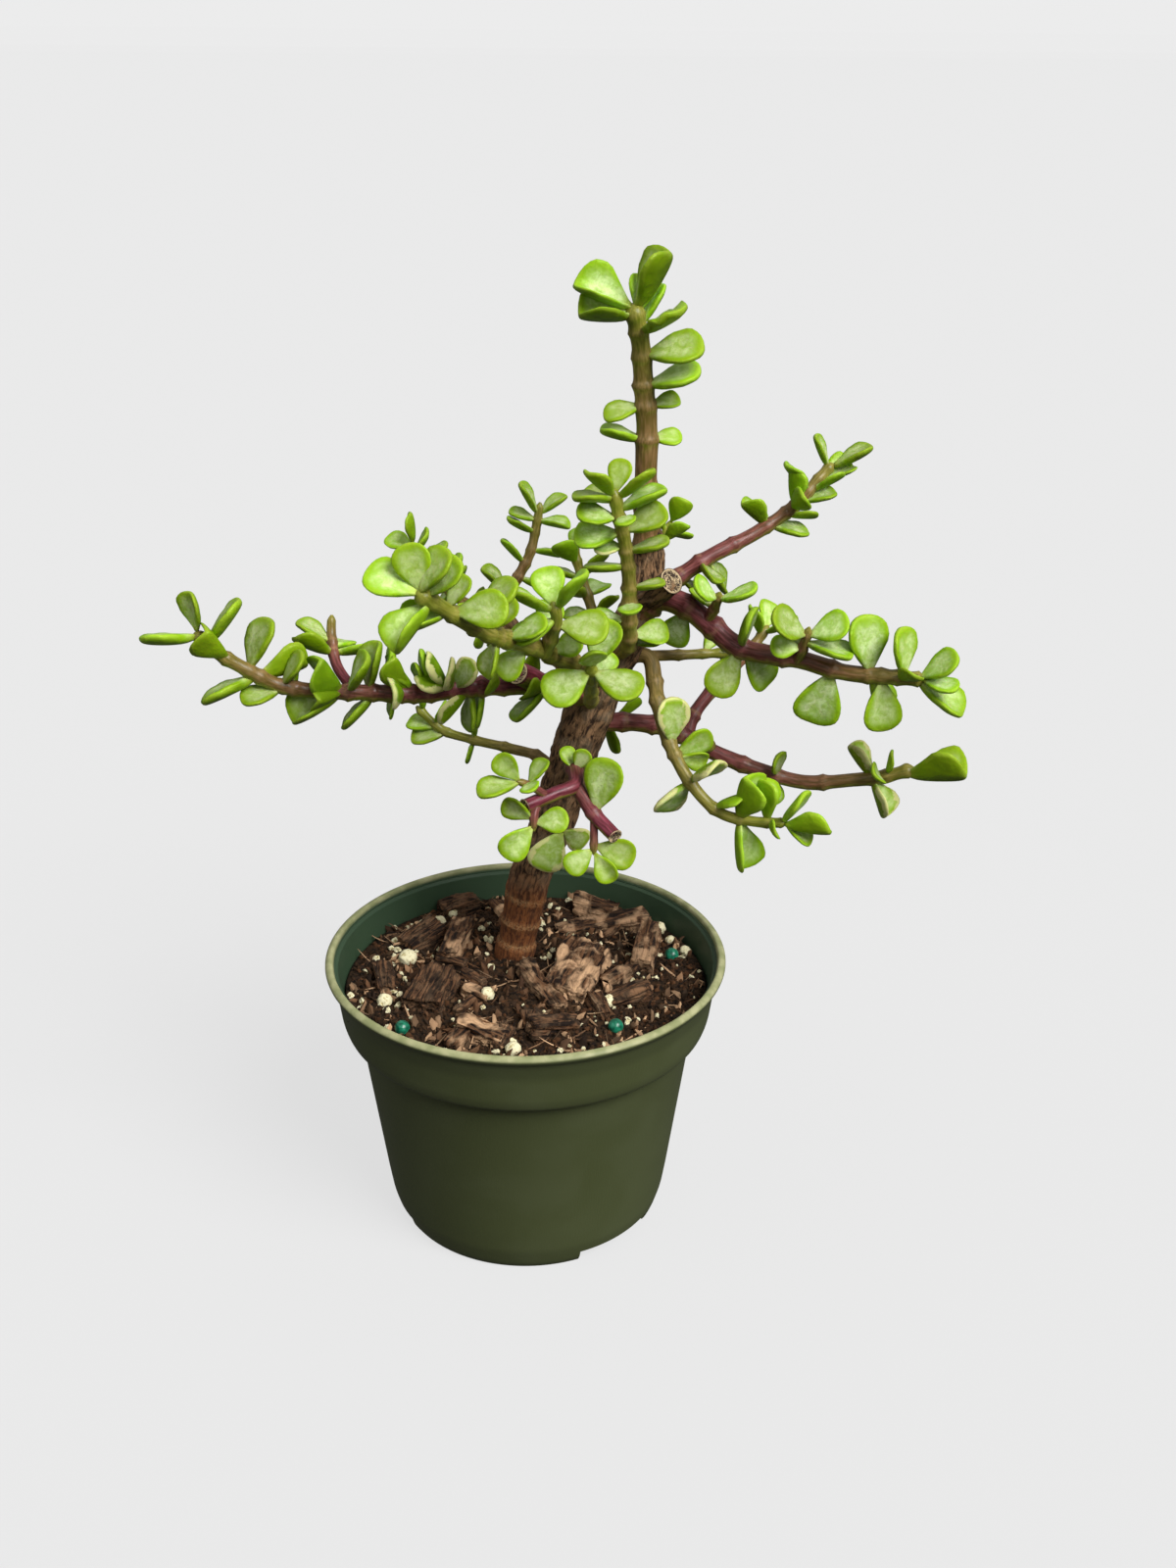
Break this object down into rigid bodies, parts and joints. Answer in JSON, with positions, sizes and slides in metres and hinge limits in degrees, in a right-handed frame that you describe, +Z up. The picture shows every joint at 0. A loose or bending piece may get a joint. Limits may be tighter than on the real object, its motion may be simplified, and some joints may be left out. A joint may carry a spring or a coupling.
{
  "type": "dwarf jade bonsai",
  "caption": "Small dwarf jade bonsai with a leaning woody trunk and leafy succulent branches, growing in bark mix in a round green nursery pot.",
  "frame": {"origin": "middle of the pot's flat foot, on the surface it stands on", "axes": "+Z up along the pot's axis, -Y towards the front, +X to the right seen from the front"},
  "size_m": [0.2002, 0.1217, 0.2577],
  "materials": {
    "pot_plastic": "moulded polypropylene, satin, dark olive green",
    "potting_mix": "bark and peat mix, rough, dark brown with tan chips",
    "jade_bark": "thin corky bark, matt brown with tan ring scars",
    "jade_foliage": "thick succulent leaves, satin yellow-green, on maroon stems"
  },
  "bodies": {
    "root": {"pot": "pot_plastic", "potting_mix": "potting_mix", "trunk": "jade_bark", "leader_shoot": "jade_foliage", "leader_side_shoot": "jade_foliage", "centre_shoot": "jade_foliage", "right_upper_branch": "jade_foliage", "right_main_branch": "jade_foliage", "hanging_branch": "jade_foliage", "lower_right_branch": "jade_foliage", "left_main_branch": "jade_foliage", "front_left_branch": "jade_foliage", "front_rosette": "jade_foliage", "back_left_branch": "jade_foliage", "back_centre_shoot": "jade_foliage", "lower_left_twig": "jade_foliage", "low_front_fork": "jade_foliage", "low_trunk_sprout": "jade_foliage", "right_trunk_sprout": "jade_foliage"}
  },
  "joints": []
}
